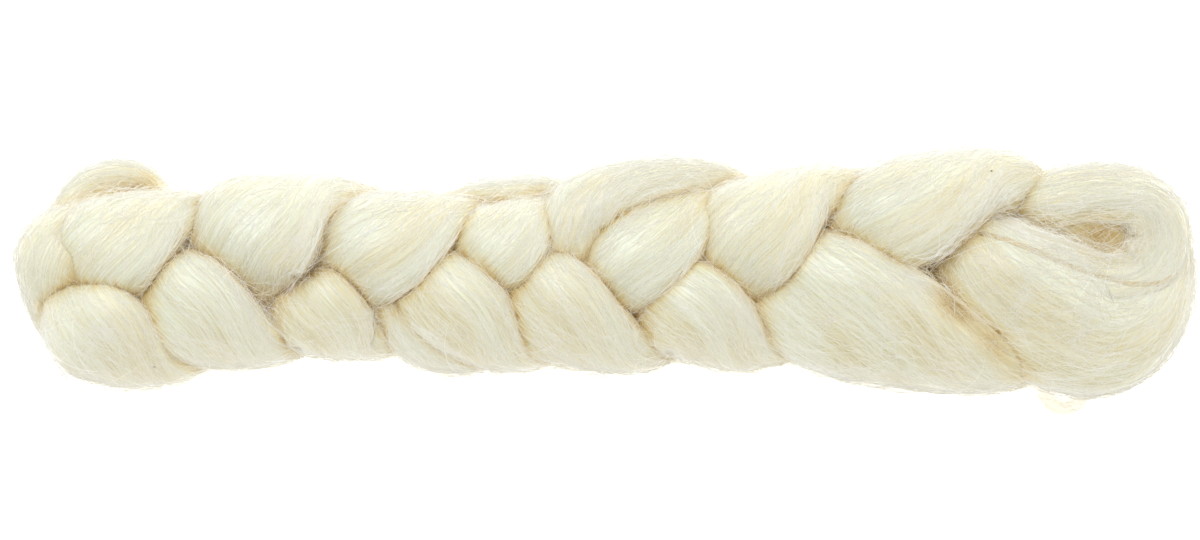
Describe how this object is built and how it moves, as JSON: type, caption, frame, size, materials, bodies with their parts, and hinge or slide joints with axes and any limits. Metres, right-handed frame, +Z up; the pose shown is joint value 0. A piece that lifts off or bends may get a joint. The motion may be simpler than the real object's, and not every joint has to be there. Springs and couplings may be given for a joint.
{
  "type": "braid of wool roving",
  "caption": "Short flat-lying plait of thick, soft, undyed wool roving, folded round at one end and turned back in a loop at the other.",
  "frame": {"origin": "centre of the bounding box in plan, at the level of the surface that the braid lies on", "axes": "+X along the braid, from the folded end to the looped end; +Y across it; +Z up from the surface"},
  "size_m": [0.449, 0.0952, 0.0502],
  "materials": {
    "cream_wool": "soft silky combed fibre"
  },
  "bodies": {
    "root": {"roving_braid": "cream_wool"}
  },
  "joints": []
}
